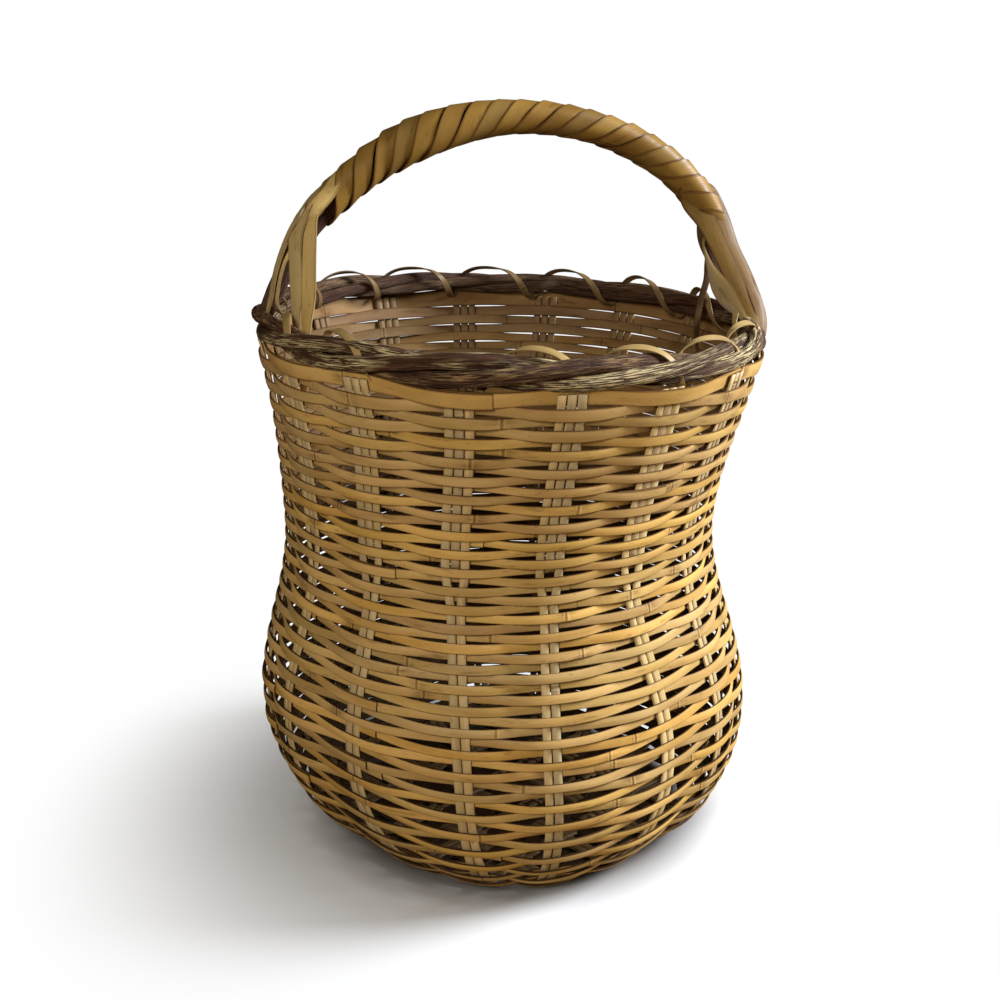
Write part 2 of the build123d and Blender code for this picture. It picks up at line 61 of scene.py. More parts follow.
STAKE_TOP, STAKE_BEND_Z = MOUTH_Z + 1, 2.6      # where a rod ends under the rope, and turns into the foot
THIRD_Z, SPREAD_RUN = 196.0, 26.0       # a third rod starts here, and a pair parts over this run below it
FOOT_REACH, FOOT_STEP = 84.0, 3.5       # a rod's run from the middle of the foot, in steps of this
MAT_MID, MAT_LIFT = 1.65, 0.85          # the foot mat's middle height, and how far a strip rises over another
MAT_EDGE_RUN = 9.0                      # a strip comes level this far past its last crossing
SLAT_OFF, SLAT_LIMIT = 4.8, 70.0        # two slats to a gap, this far off its middle and within the foot


def ease(a, b, t, power=1.0):
    """From a to b, slow at either end, as t goes from 0 to 1."""
    t = min(max(t, 0.0), 1.0)
    return a + (b - a) * (0.5 - 0.5 * cos(pi * t ** power))


def swell(foot, belly, z, fullness):
    """The round turn from the foot into the belly."""
    t = 1.0 - max(z, 0.0) / BELLY_Z
    return foot + (belly - foot) * (1.0 - t ** fullness) ** (1.0 / fullness)


def wall_radius(angle, z):
    """Plan of the wall at height z: a rounded square at the foot, a circle from the waist up."""
    if z < BELLY_Z:
        side = swell(FOOT_SIDE, BELLY_SIDE, z, FOOT_ROUND)
        corner = swell(FOOT_CORNER, BELLY_CORNER, z, CORNER_ROUND)
    elif z < WAIST_Z:
        t = (z - BELLY_Z) / (WAIST_Z - BELLY_Z)
        side, corner = ease(BELLY_SIDE, WAIST_R, t), ease(BELLY_CORNER, WAIST_R, t)
    else:
        t = (z - WAIST_Z) / (MOUTH_Z - WAIST_Z)
        return WAIST_R + (MOUTH_R - WAIST_R) * t ** FLARE_POWER
    corner = max(side, corner)          # and nook is the radius of the rounded square's corners
    nook = min(max((sqrt(2) * side - corner) / (sqrt(2) - 1), 1.0), side)
    off_corner = abs((angle + 45) % 90 - 45)
    off_side = radians(45 - off_corner)
    if side * tan(off_side) <= side - nook:
        return side / cos(off_side)
    reach = sqrt(2) * (side - nook)
    off = radians(off_corner)
    return reach * cos(off) + sqrt(max(nook ** 2 - (reach * sin(off)) ** 2, 0.0))


def body_x(z):
    """The hand-woven body leans a little to one side and back."""
    if z < WAIST_Z:
        return MIDDLE_X + ease(FOOT_LEAN, WAIST_LEAN, max(z, 0.0) / WAIST_Z, 0.5)
    return MIDDLE_X + ease(WAIST_LEAN, MOUTH_LEAN, (z - WAIST_Z) / (MOUTH_Z - WAIST_Z))


def settled(plan_x, plan_y, z):
    """Its rim has settled lower to +X, and what lies below shares that less and less."""
    fall = tan(radians(RIM_TILT)) * min(max(z, 0.0) / MOUTH_Z, 1.0) ** 2
    return Vector((plan_x, plan_y, z - fall * plan_x))


def polar(angle, r, z):
    a = radians(angle)
    return settled(body_x(z) + r * sin(a), -r * cos(a), z)


def spoke(angle):
    """The level way out from the middle; angles are degrees from the front, counted towards +X."""
    return Vector((sin(radians(angle)), -cos(radians(angle)), 0))


def tangent(angle):
    return Vector((cos(radians(angle)), sin(radians(angle)), 0))


def wall_frame(angle, z):
    """A point of the wall's middle surface, and the way out of it."""
    rise = (wall_radius(angle, z + 0.8) - wall_radius(angle, max(z - 0.8, 0.1))) / 1.6
    out = (spoke(angle) - Vector((0, 0, rise))).normalized()
    return polar(angle, wall_radius(angle, z), z), out


def foot_place(k):
    """Where pair k crosses the edge of the foot: the side it is on, and its place along it."""
    side, slot = divmod((k - 1) % GROUPS, PER_SIDE)
    return side, (slot + 0.5 - PER_SIDE / 2) * BAY


def side_turn(side):
    """The way that a side of the foot looks: its corners are at the front, the back, +X and -X."""
    return 45 + 90 * side


def stake_angle(k, z):
    """Where pair k stands at height z, in degrees from the front corner."""
    waist = FIRST_ANGLE + 360 / GROUPS * k
    belly = waist + DRIFT.get(k % GROUPS, 0.0)
    side, along = foot_place(k)
    foot = side_turn(side) + degrees(atan2(along, FOOT_SIDE))
    foot += 360 * round((belly - foot) / 360)
    if z < BELLY_Z:
        return ease(foot, belly, z / BELLY_Z, 0.6)
    return ease(belly, waist, (z - BELLY_Z) / (WAIST_Z - BELLY_Z))


def pair_half(z):
    """Half the distance between a pair's rods, which part above the waist for a third one."""
    close = STAKE_HALF_W + STAKE_GAP / 2
    return ease(close, 2 * close, (z - THIRD_Z + SPREAD_RUN) / SPREAD_RUN)


def mat_places():
    """Places across the foot, from one side to the other, of everything that runs one way in its mat."""
    places = []
    for gap in range(PER_SIDE + 1):
        middle = (gap - PER_SIDE / 2) * BAY
        places += [(at, "slat") for at in (middle - SLAT_OFF, middle + SLAT_OFF) if abs(at) < SLAT_LIMIT]
        if gap < PER_SIDE:
            places.append((middle + BAY / 2, "pair"))
    return places


MAT = [p for p, kind in mat_places()]


def mat_height(own, along, layer):
    """Height of strip number own of one layer, which goes over one crossing strip and under the next."""
    j = bisect_right(MAT, along)
    if j == 0 or j == len(MAT):
        edge = MAT[0] if j == 0 else MAT[-1]
        wave = (-1) ** ((0 if j == 0 else j - 1) + own) * max(0.0, 1 - abs(along - edge) / MAT_EDGE_RUN)
    else:
        t = (along - MAT[j - 1]) / (MAT[j] - MAT[j - 1])
        wave = (-1) ** (j - 1 + own) * cos(pi * t)
    return MAT_MID + (1 if layer else -1) * MAT_LIFT * wave


def lay_grid(bm, place, steps, ribs, length, tone):
    """A grid laid along place(s, t), with s from 0 to 1 along it and t from -1 to 1 across it.

    Its chart runs along it in metres and across it from 0 to 1, and its tone sets it apart from others.
    """
    chart = bm.loops.layers.uv.verify()
    shade = bm.verts.layers.float.get("tone") or bm.verts.layers.float.new("tone")
    verts = bmesh.ops.create_grid(bm, x_segments=steps, y_segments=ribs, size=1.0)["verts"]
    for face in {f for v in verts for f in v.link_faces}:
        face.smooth = True
        for loop in face.loops:
            loop[chart].uv = ((loop.vert.co.x + 1) / 2 * length * MM, (loop.vert.co.y + 1) / 2)
    for v in verts:
        v[shade] = tone
        v.co = place((v.co.x + 1) / 2, v.co.y) * MM
    return verts


def lay_rod(bm, place, steps, sides, length, tone):
    """A rod: the grid's two long edges meet and its ends are closed."""
    verts = lay_grid(bm, place, steps, sides, length, tone)
    bmesh.ops.remove_doubles(bm, verts=verts, dist=1e-7)
    rims = [e for v in verts if v.is_valid for e in v.link_edges if e.is_boundary]
    bmesh.ops.holes_fill(bm, edges=list(set(rims)), sides=0)


def through(stations):
    """Reads a list of stations by the share of its length."""
    def read(s):
        at = s * (len(stations) - 1)
        return stations[min(int(round(at)), len(stations) - 1)]
    return read


def rod_section(station, t, half_w, half_t):
    """A point round a flattened rod whose station is (middle, width line, way out)."""
    middle, across, out = station
    turn = pi * t
    w = abs(sin(turn)) ** 0.8 * (1 if sin(turn) > 0 else -1)
    n = abs(cos(turn)) ** 0.8 * (1 if cos(turn) > 0 else -1)
    return middle - across * (w * half_w) + out * (-n * half_t)


def run_length(stations):
    return sum((b[0] - a[0]).length for a, b in zip(stations, stations[1:]))


def wall_stations(k, offset_of, top, bottom, facing):
    """Stations of a rod down the wall beside the middle of pair k; facing is -1 where it goes up.

    They stand closer together where the rod bends into the foot.
    """
    stations = []
    z = top
    while z > bottom:
        angle = stake_angle(k, z)
        middle, out = wall_frame(angle, z)
        stations.append((middle + tangent(angle) * offset_of(z), tangent(angle) * facing, out))
        z -= 1.2 if z < 14 else 2.4 if z < 40 else 4.8
    return stations


def foot_stations(k, sign, layer):
    """Stations of a rod across the foot, from pair k's side to the far one."""
    side, along = foot_place(k)
    turn = side_turn(side)
    across = tangent(turn)
    own = MAT.index(min(MAT, key=lambda p: abs(p - along)))
    stations = []
    for i in range(int(2 * FOOT_REACH / FOOT_STEP) + 1):
        reach = FOOT_REACH - i * FOOT_STEP
        z = mat_height(own, -reach if layer else reach, layer)
        flat = spoke(turn) * reach + across * (along + sign * pair_half(0))
        stations.append((flat + Vector((body_x(0), 0, z)), across, Vector((0, 0, -1))))
    return stations


def far_pair(k):
    """The pair whose place a rod of pair k takes where it goes up the far side."""
    side, slot = divmod((k - 1) % GROUPS, PER_SIDE)
    return ((side + 2) % 4 * PER_SIDE + PER_SIDE - slot) % GROUPS


def add_node(tree, kind, inputs=None, **settings):
    """A shader node, each of its inputs given a value or linked to a socket."""
    node = tree.nodes.new("ShaderNode" + kind)
    for name, value in settings.items():
        setattr(node, name, value)
    for key, value in (inputs or {}).items():
        if isinstance(value, bpy.types.NodeSocket):
            tree.links.new(value, node.inputs[key])
        else:
            node.inputs[key].default_value = value
    return node


def sum_up(tree, operation, a, b=0.0):
    return add_node(tree, "Math", {0: a, 1: b}, operation=operation).outputs[0]


def times(tree, a, b):
    return sum_up(tree, "MULTIPLY", a, b)


def plus(tree, a, b):
    return sum_up(tree, "ADD", a, b)


def fade(tree, value, start, end, low=0.0, high=1.0):
    """From low to high as a value goes from start to end."""
    inputs = {"Value": value, "From Min": start, "From Max": end, "To Min": low, "To Max": high}
    return add_node(tree, "MapRange", inputs, interpolation_type="SMOOTHSTEP").outputs[0]


def colour_over(tree, share, below, above):
    """A share of one colour over another, for stains, tones and painted shade alike."""
    inputs = {0: share, 6: below, 7: above}
    return add_node(tree, "Mix", inputs, data_type="RGBA").outputs[2]


def streaks(tree, along, across, seed, length, width, detail):
    """Noise drawn out along a strip, with marks about this long and this wide."""
    place = add_node(tree, "CombineXYZ", {
        0: times(tree, along, 1 / length),
        1: times(tree, across, 1 / width), 2: seed}).outputs[0]
    return add_node(tree, "TexNoise", {
        "Vector": place, "Scale": 1.0, "Detail": detail, "Roughness": 0.6}).outputs[0]


def new_group(name, inputs, outputs):
    """A node group with named sockets, the sockets that it is given and those that it puts out."""
    group = bpy.data.node_groups.new(name, "ShaderNodeTree")
    for socket, kind, value in inputs:
        made = group.interface.new_socket(socket, in_out="INPUT", socket_type="NodeSocket" + kind)
        if value is not None:
            made.default_value = value
    for socket, kind in outputs:
        group.interface.new_socket(socket, in_out="OUTPUT", socket_type="NodeSocket" + kind)
    return group, group.nodes.new("NodeGroupInput").outputs, group.nodes.new("NodeGroupOutput").inputs


def split_cane_group():
    """Cane as it is split: long fibres, slow changes of tone, dark rings at the joints, brown stains, and
    painted shade along a strip's edges.

    It follows the chart that lay_grid gives a strip, and each strip's own tone shifts it.
    """
    group, given, out = new_group("split_cane", [
        ("Chart", "Vector", None), ("Tone", "Float", 0.5),
        ("Pale", "Color", (0.6, 0.45, 0.2, 1)), ("Deep", "Color", (0.4, 0.25, 0.1, 1)),
        ("Stain And Edge Shade", "Color", (0.098, 0.037, 0.007, 1)), ("Stained", "Float", 0.5),
        ("Joint Spacing", "Float", 0.21), ("Gloss", "Float", 0.4),
        ("Painted Edge Shade", "Float", 0.3)],
        [("Color", "Color"), ("Roughness", "Float"), ("Height", "Float")])
    part = add_node(group, "SeparateXYZ", {0: given["Chart"]}).outputs
    seed = times(group, given["Tone"], 57.0)
    along = plus(group, part[0], seed)
    drift = streaks(group, along, part[1], seed, 0.060, 2.0, 3.0)           # marks six centimetres long
    fibre = streaks(group, along, part[1], seed, 0.014, 0.09, 3.0)
    scratch = streaks(group, along, part[1], plus(group, seed, 9.0), 0.006, 0.16, 2.0)
    blot = streaks(group, along, part[1], plus(group, seed, 5.0), 0.022, 0.7, 5.0)
    step = sum_up(group, "FRACT", sum_up(group, "DIVIDE", along, given["Joint Spacing"]))
    off = sum_up(group, "ABSOLUTE", sum_up(group, "SUBTRACT", step, 0.5))
    off = times(group, off, given["Joint Spacing"])         # metres along from a joint
    off = plus(group, off, times(group, sum_up(group, "SUBTRACT", fibre, 0.5), 0.0012))
    ring = fade(group, off, 0.0003, 0.0009, 1.0, 0.0)       # dark, with a pale lip and a stained halo
    lip = sum_up(group, "SUBTRACT", fade(group, off, 0.0012, 0.0022, 1.0, 0.0), ring)
    halo = times(group, fade(group, off, 0.001, 0.010, 1.0, 0.0), fade(group, blot, 0.42, 0.62))
    mark = times(group, fade(group, blot, 0.585, 0.70), given["Stained"])
    mark = sum_up(group, "MAXIMUM", mark, times(group, halo, 0.75))
    colour = colour_over(group, fade(group, drift, 0.30, 0.70), given["Pale"], given["Deep"])
    own = sum_up(group, "FRACT", times(group, given["Tone"], 7.31))         # a strip's own lightness
    other = sum_up(group, "FRACT", times(group, given["Tone"], 23.7))       # and its own warmth
    colour = add_node(group, "HueSaturation", {
        "Hue": fade(group, other, 0.0, 1.0, 0.500, 0.508),
        "Saturation": fade(group, own, 0.0, 1.0, 0.95, 1.05),
        "Value": fade(group, own, 0.0, 1.0, 0.86, 1.12), "Color": colour}).outputs[0]
    colour = colour_over(group, fade(group, fibre, 0.50, 0.80, 0.0, 0.35), colour, given["Deep"])
    colour = colour_over(group, fade(group, scratch, 0.64, 0.74, 0.0, 0.45), colour, given["Stain And Edge Shade"])
    colour = colour_over(group, times(group, mark, 0.75), colour, given["Stain And Edge Shade"])
    colour = colour_over(group, times(group, lip, 0.35), colour, given["Pale"])
    colour = colour_over(group, times(group, ring, 0.5), colour, given["Stain And Edge Shade"])
    # Painted shade: a strip darkens towards both edges, in the stains' dark brown, as if in its neighbours'
    # shadow.
    aside = sum_up(group, "ABSOLUTE", sum_up(group, "SUBTRACT", part[1], 0.5))
    rim = times(group, fade(group, aside, 0.36, 0.50), given["Painted Edge Shade"])
    colour = colour_over(group, rim, colour, given["Stain And Edge Shade"])
    group.links.new(colour, out["Color"])
    rough = plus(group, given["Gloss"], fade(group, fibre, 0.3, 0.7, -0.06, 0.10))
    group.links.new(plus(group, rough, times(group, mark, 0.25)), out["Roughness"])
    height = plus(group, fade(group, fibre, 0.2, 0.8, 0.0, 0.25), times(group, lip, 0.8))
    group.links.new(sum_up(group, "SUBTRACT", height, times(group, ring, 0.7)), out["Height"])
    return group


SPLIT_CANE = split_cane_group()


def skin_finish(name, skin, values, relief, strength, shine):
    """A finish whose colour, roughness and relief a skin gives, laid along the piece's own chart."""
    finish = bpy.data.materials.new(name)
    finish.use_nodes = True
    tree = finish.node_tree
    laid = add_node(tree, "Group", {
        "Chart": add_node(tree, "UVMap").outputs[0],
        "Tone": add_node(tree, "Attribute", attribute_name="tone").outputs["Fac"],
        **values}, name="skin", node_tree=skin).outputs
    bump = add_node(tree, "Bump", {
        "Height": laid["Height"], "Distance": relief, "Strength": strength})
    shader = tree.nodes["Principled BSDF"]
    tree.links.new(laid["Color"], shader.inputs["Base Color"])
    tree.links.new(laid["Roughness"], shader.inputs["Roughness"])
    tree.links.new(bump.outputs[0], shader.inputs["Normal"])
    shader.inputs["Specular IOR Level"].default_value = shine
    return finish


def cane_finish(name, pale, deep, stained=0.5, gloss=0.4, joint=0.21, edges=0.4):
    """A finish of split cane between two tones; edges is how much painted shade darkens a strip's edges."""
    return skin_finish(name, SPLIT_CANE, {
        "Pale": (*pale, 1), "Deep": (*deep, 1), "Stained": stained, "Joint Spacing": joint, "Gloss": gloss,
        "Painted Edge Shade": edges}, relief=0.00025, strength=0.8, shine=0.18)


def stand_up(name, data):
    """An object in the scene that holds a mesh, a lamp or a camera."""
    made = bpy.data.objects.new(name, data)
    bpy.context.scene.collection.objects.link(made)
    return made


def place_piece(name, bm, finishes, node, thick=0.0, edge=0.18):
    """Makes the piece, gives a strip its thickness and soft edges, and puts it in the CAD node's stead."""
    mesh = bpy.data.meshes.new(name)
    bm.to_mesh(mesh)
    bm.free()
    piece = stand_up(name, mesh)
    for finish in finishes:
        mesh.materials.append(finish)
    if thick:
        wall = piece.modifiers.new("thickness", "SOLIDIFY")
        wall.thickness = thick * MM
        wall.offset = -1.0
        wall.material_offset = len(finishes) - 1
        wall.material_offset_rim = len(finishes) - 1
        soft = piece.modifiers.new("soft_edges", "BEVEL")
        soft.width = edge * MM
        soft.segments = 1
        soft.limit_method = "ANGLE"
        soft.angle_limit = radians(50)
        soft.harden_normals = True
    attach(piece, "root")
    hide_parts(node)


def facing_out_group():
    """How squarely a face looks away from the middle of the basket: 1 straight out, -1 straight in."""
    group, given, out = new_group("facing_out", [
        ("Place", "Vector", None), ("Facing", "Vector", None),
        ("Middle", "Vector", (0, 0, 0.3))], [("Outward", "Float")])
    off = add_node(group, "VectorMath", {0: given["Place"], 1: given["Middle"]},
                   operation="SUBTRACT").outputs[0]
    away = add_node(group, "VectorMath", {0: off}, operation="NORMALIZE").outputs[0]
    turned = add_node(group, "VectorMath", {0: away, 1: given["Facing"]}, operation="DOT_PRODUCT")
    group.links.new(turned.outputs["Value"], out["Outward"])
    return group


def painted_shade_group():
    """Painted shade: a colour that turns to a dark shade colour as a measure goes from its start to its end.
    """
    group, given, out = new_group("painted_shade", [
        ("Measure", "Float", 0.0), ("Start", "Float", 0.0),
        ("End", "Float", 1.0), ("Most", "Float", 1.0),
        ("Unshaded", "Color", (0.6, 0.45, 0.2, 1)),
        ("Shade", "Color", (0.1, 0.05, 0.02, 1))], [("Color", "Color")])
    share = times(group, fade(group, given["Measure"], given["Start"], given["End"]), given["Most"])
    group.links.new(colour_over(group, share, given["Unshaded"], given["Shade"]), out["Color"])
    return group


FACING_OUT = facing_out_group()
PAINTED_SHADE = painted_shade_group()


def paint_shade_by(finish, measure, start, end, most, brown):
    """Paints shade over a finish where a measure has gone past start, and most where it reaches end."""
    tree = finish.node_tree
    colour = tree.nodes["Principled BSDF"].inputs["Base Color"]
    made = add_node(tree, "Group", {
        "Measure": measure, "Start": start, "End": end, "Most": most,
        "Unshaded": colour.links[0].from_socket, "Shade": (*brown, 1)}, node_tree=PAINTED_SHADE)
    tree.links.new(made.outputs["Color"], colour)


def paint_inside_shade(finish, brown):
    """Paints shade on the faces that look into the basket."""
    given = add_node(finish.node_tree, "TexCoord").outputs
    made = add_node(finish.node_tree, "Group", {"Place": given["Object"], "Facing": given["Normal"]},
                    node_tree=FACING_OUT)
    paint_shade_by(finish, made.outputs["Outward"], 0.12, -0.05, 1.0, brown)


def place_along(finish, axis):
    """Where a point of a piece is along X, Y or Z, in metres."""
    spot = add_node(finish.node_tree, "TexCoord").outputs["Object"]
    return add_node(finish.node_tree, "SeparateXYZ", {0: spot}).outputs[axis]


stake_finish = cane_finish("stake_cane", (0.73, 0.53, 0.28), (0.56, 0.375, 0.165), stained=0.35, gloss=0.45,
                           joint=0.26, edges=0.0)
# Painted shade: the faces that look into the basket are browned, as the shade inside it.
paint_inside_shade(stake_finish, (0.21, 0.125, 0.052))
chance = Random(4)
for k in range(1, GROUPS // 2 + 1):
    layer = foot_place(k)[0] % 2
    far = far_pair(k)
    bm = bmesh.new()
    for sign in (-1, 1):
        stations = wall_stations(k, lambda z: sign * pair_half(z), STAKE_TOP, STAKE_BEND_Z, 1)
        stations += foot_stations(k, sign, layer)
        stations += reversed(wall_stations(far, lambda z: -sign * pair_half(z), STAKE_TOP, STAKE_BEND_Z, -1))
        read = through(stations)
        half_w = STAKE_HALF_W * chance.uniform(0.94, 1.04)
        lay_rod(bm, lambda s, t: rod_section(read(s), t, half_w, STAKE_HALF_T), steps=len(stations) - 1,
                sides=10, length=run_length(stations), tone=chance.random())
    place_piece(f"stakes_{k}", bm, [stake_finish], f"stake_run_{k}")
for side in range(4):
    bm = bmesh.new()
    for k in range(side * PER_SIDE + 1, (side + 1) * PER_SIDE + 1):
        stations = wall_stations(k, lambda z: 0.0, STAKE_TOP, THIRD_Z - 6 * chance.random(), 1)
        read = through(stations)
        lay_rod(bm, lambda s, t: rod_section(read(s), t, STAKE_HALF_W, STAKE_HALF_T),
                steps=len(stations) - 1, sides=10, length=run_length(stations), tone=chance.random())
    place_piece(f"third_stakes_{side + 1}", bm, [stake_finish], f"let_in_stakes_{side + 1}")


# ---- Foot mat ----
# Flat slats of split cane, plain-woven with the stakes' runs into the square mat that the basket
# stands on. They are dull, painted dark for the shade under the basket, and almost black inside with more
# painted shade.

SLAT_HALF_W, SLAT_T = 4.1, 1.4
MAT_R = 86.0                            # the slats end on a circle that the wall hides

# Painted shade: the slats' colours are dark for the shade that they lie in, and their faces that look into
# the basket darker still.
shaded_slat_finish = cane_finish("foot_cane", (0.22, 0.14, 0.065), (0.15, 0.085, 0.036), stained=0.8, gloss=0.55)
paint_inside_shade(shaded_slat_finish, (0.045, 0.022, 0.008))
for layer, name in ((0, "lower"), (1, "upper")):
    bm = bmesh.new()
    turn = side_turn(layer)
    for own, (along, kind) in enumerate(mat_places()):
        if kind == "pair":
            continue
        reach = sqrt(MAT_R ** 2 - (abs(along) + SLAT_HALF_W) ** 2)

        def on_mat(s, t):
            u = (2 * s - 1) * reach
            z = mat_height(own, u, layer)
            plan = tangent(turn) * (along - t * SLAT_HALF_W) + spoke(turn) * -u
            return plan + Vector((body_x(0), 0, z + SLAT_T / 2))
        lay_grid(bm, on_mat, steps=56, ribs=2, length=2 * reach, tone=chance.random())
    place_piece(f"mat_slats_{name}", bm, [shaded_slat_finish], f"foot_slats_{name}", thick=SLAT_T)


# ---- Weavers ----
# Fifty-five rows of split cane, each over one pair of stakes and under the next, and the row above
# the other way about. The ends of a row overlap at a stake. Satin golden skin outside, dull pith within;
# the pith is darkened with painted shade of the inside, most low down, and painted shade darkens each strip's
# edges.

ROWS, FIRST_ROW_Z = 55, 3.4
WEAVER_T, ROW_GAP = 1.1, 0.85
FOOT_PITCH, BELLY_PITCH, WAIST_PITCH, MOUTH_PITCH = 6.4, 5.7, 4.7, 6.6
STEEPEST = 64.0                         # degrees of slope that the rows' heights allow for
WEAVE = 2.10                            # from the wall's middle to a strip's, over or under a stake
SAG = 0.55                              # a strip hangs lower where it passes outside a stake
CROWN = 0.38                            # how far a strip's middle stands out from its edges
LAP = 0.6 * WEAVER_T                    # where a row's ends lap, one goes out by this and the other in
WANDER, ROLL = 0.10, 0.16               # how far a hand-laid strip strays up or down, and rolls
SPARE = 0.10                            # a strip's share of width more at a stake, or less low down
SLACK, SLACK_BEHIND = 0.12, 0.20        # low rows are this share narrower in front, and gain this behind
SLACK_Z, SLACK_RUN = 90.0, 80.0
CLOSE, CLOSE_Z, CLOSE_RUN = 0.11, 190.0, 50.0       # rows behind are this share wider, up to the waist
LAST_UP, LAST_UP_BEHIND = 1.4, 2.4      # the last row comes up under the rope, and most behind


def wall_slope(z):
    rise = wall_radius(45, z + 0.5) - wall_radius(45, z - 0.5)
    return max(-STEEPEST, min(STEEPEST, degrees(atan2(rise, 1.0))))


def row_pitch(z):
    """From one row to the next up the wall, strip and gap together."""
    if z < BELLY_Z:
        return ease(FOOT_PITCH, BELLY_PITCH, z / BELLY_Z)
    if z < WAIST_Z:
        return ease(BELLY_PITCH, WAIST_PITCH, (z - BELLY_Z) / (WAIST_Z - BELLY_Z))
    return ease(WAIST_PITCH, MOUTH_PITCH, (z - WAIST_Z) / (MOUTH_Z - WAIST_Z), 2.2)


def row_edges():
    """Lower and upper edge of every row, laid one on another up to the mouth."""
    edges = []
    z = FIRST_ROW_Z
    for i in range(ROWS):
        top = z + (row_pitch(z) - ROW_GAP) * cos(radians(wall_slope(z)))
        edges.append((z, top))
        z = top + ROW_GAP * cos(radians(wall_slope(top)))
    stretch = (MOUTH_Z - FIRST_ROW_Z) / (edges[-1][1] - FIRST_ROW_Z)
    return [[FIRST_ROW_Z + (e - FIRST_ROW_Z) * stretch for e in pair] for pair in edges]


def weaver_row(bm, i, low, top):
    """One row, with its two ends one over the other at a stake."""
    last = i == ROWS - 1
    top += last * LAST_UP
    mid = (low + top) / 2
    upright = cos(radians(wall_slope(mid)))
    half = ((top - low) + ROW_GAP * upright) / 2 * chance.uniform(0.94, 1.04)
    slack = ease(1.0, 0.0, (mid - SLACK_Z) / SLACK_RUN)
    close = ease(CLOSE, 0.0, (mid - CLOSE_Z) / CLOSE_RUN)
    spare = ease(-SPARE, SPARE, (mid - BELLY_Z) / (WAIST_Z - BELLY_Z))
    early = 4                                       # stakes counted before the first one
    angles = [stake_angle(k, mid) for k in range(-early, GROUPS + 8)]
    home = chance.randrange(GROUPS)                 # the stake where its ends lap
    if (home + i) % 2 == 0 and chance.random() < 0.75:
        home += 1
    start = stake_angle(home, mid) - chance.uniform(5, 8)
    sweep = 360 + chance.uniform(11, 16)
    waves = [(n, chance.uniform(-1, 1) * WANDER, chance.uniform(0, 2 * pi)) for n in (1, 2, 3, 5, 7)]
    twists = [(n, chance.uniform(-1, 1) * ROLL, chance.uniform(0, 2 * pi)) for n in (3, 5, 8, 13)]
    settles = min(1.0, mid / 30)                    # the lowest rows lie true on the foot

    def on_wall(s, t):
        angle = start + sweep * s
        a = radians(angle)
        wander = sum(size * sin(n * a + p) for n, size, p in waves)
        shared = 0.8 * sin(2 * a + mid / 31) + 0.6 * sin(3 * a - mid / 23)   # as neighbouring rows do
        wander = (wander + shared) * settles
        at = (angle + 360) % 360
        at = at if at >= angles[0] else at + 360
        j = bisect_right(angles, at) - 1
        q = j - early + (at - angles[j]) / (angles[j + 1] - angles[j])
        weave = cos(pi * (q + i))
        weave = weave * (1.22 - 0.22 * weave * weave)       # flatter at a stake than a plain wave
        lap = LAP * (ease(0, 1, (s - 0.94) / 0.04) - ease(1, 0, (s - 0.02) / 0.04))
        behind = 0.5 - 0.5 * cos(a)
        share = 1 + spare * abs(weave) ** 1.5 + close * behind - slack * (SLACK - SLACK_BEHIND * behind)
        z = mid + min(max(wander, -half * 0.6), half * 0.6) - SAG * weave * upright + t * half * share
        z += last * LAST_UP_BEHIND * behind * (0.5 + 0.5 * t)
        point, out = wall_frame(angle, max(z, 1.2))
        roll = sum(size * sin(n * a + p) for n, size, p in twists) * t
        return point + out * (WEAVE * weave + lap + WEAVER_T / 2 + CROWN * (1 - t * t) + roll)
    girth = 2 * pi * wall_radius(20, mid)
    lay_grid(bm, on_wall, steps=224, ribs=3, length=girth * sweep / 360, tone=chance.random())


# Painted shade darkens the strips' edges, and the pith's colours are darker than its own, as the shade inside
# the basket.
weaver_skin = cane_finish("weaver_skin", (0.76, 0.475, 0.172), (0.54, 0.308, 0.092), stained=0.5, gloss=0.38,
                          edges=0.65)
shaded_weaver_pith = cane_finish("shaded_weaver_pith", (0.31, 0.175, 0.066), (0.19, 0.096, 0.031), stained=0.6, gloss=0.62,
                          edges=0.75)
# Painted shade: the pith grows darker towards the bottom of the basket.
paint_shade_by(shaded_weaver_pith, place_along(shaded_weaver_pith, "Z"), 0.25, 0.15, 0.75, (0.030, 0.013, 0.004))
edges = row_edges()
for first in range(0, ROWS, 2):
    bm = bmesh.new()
    for i in range(first, min(first + 2, ROWS)):
        weaver_row(bm, i, *edges[i])
    number = first // 2 + 1
    place_piece(f"weavers_{number:02d}", bm, [weaver_skin, shaded_weaver_pith], f"weaver_rows_{number:02d}",
                thick=WEAVER_T)


# ---- Rim rope ----
# Three rough bark vines, as thick as a pencil, twisted round the mouth on top of the weavers. One is
# dark purple-brown, the others are worn to grey-yellow flecks in front, and all are thinner behind, where
# the flecks fade out as painted shade. Each vine's cut end stands out a little from the others.

ROPE_Z, ROPE_R, ROPE_HALF_DEPTH, ROPE_HALF_HEIGHT = 299.3, 135.5, 4.6, 4.4
ROPE_TWISTS, ROPE_SWEEP = 4, 357        # turns of the twist, and the degrees that a vine runs round the mouth
VINE_HALF_DEPTH, VINE_HALF_HEIGHT = 3.9, 4.1
SLIM_BEHIND = 0.20                      # the vines' share of girth less behind
CUT_RUN, CUT_OUT, CUT_UP = 0.022, 3.5, 2.0      # a vine's first end leaves the rope over this share of it
START_TAPER, END_TAPER = 0.008, 0.015   # shares of a vine over which its ends are cut thinner


